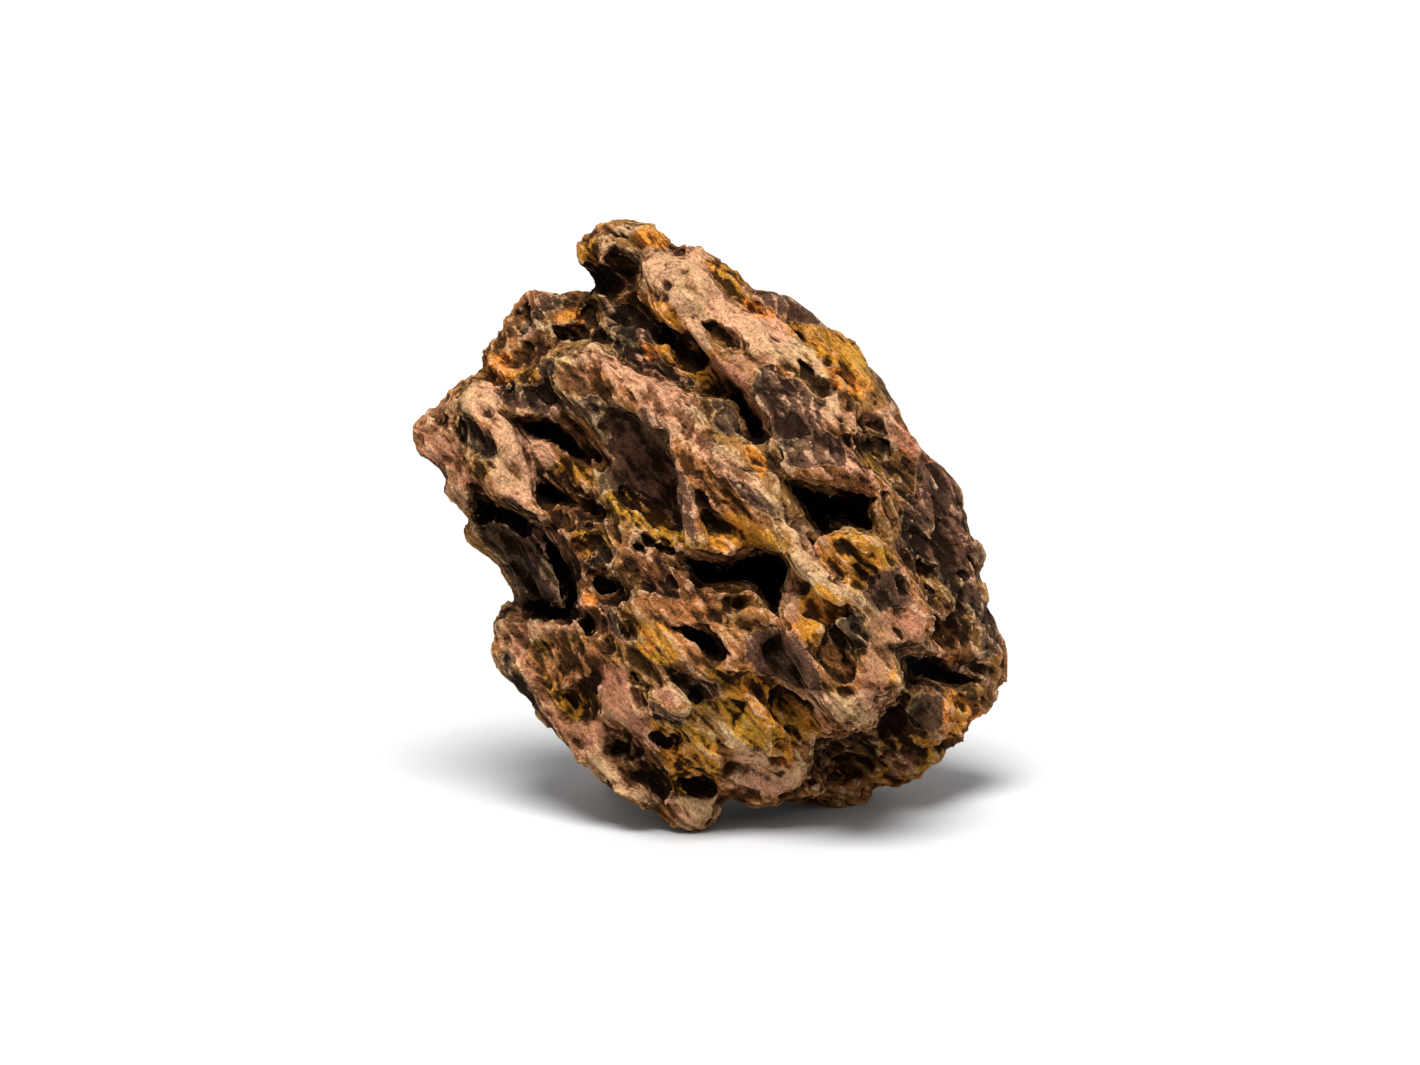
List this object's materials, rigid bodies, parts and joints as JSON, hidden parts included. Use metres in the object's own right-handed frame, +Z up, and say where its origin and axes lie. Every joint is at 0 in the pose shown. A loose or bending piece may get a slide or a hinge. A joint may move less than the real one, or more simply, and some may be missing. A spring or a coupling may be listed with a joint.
{
  "type": "aquarium dragon stone",
  "caption": "Upright lump of scooped, ledged clay rock with caves, pits and ridges along its grain, resting on its worn feet; an aquarium layout stone.",
  "frame": {"origin": "middle of the stone's bounding box in X and Y, on the surface that it stands on", "axes": "+Z up, -Y towards the scooped front face of the picture, +X to that face's right"},
  "size_m": [0.1776, 0.1416, 0.1701],
  "materials": {
    "clay_rock": "matt weathered clay rock: pinkish tan crests, grey-brown film, ochre hollows"
  },
  "bodies": {
    "root": {"stone": "clay_rock"}
  },
  "joints": []
}
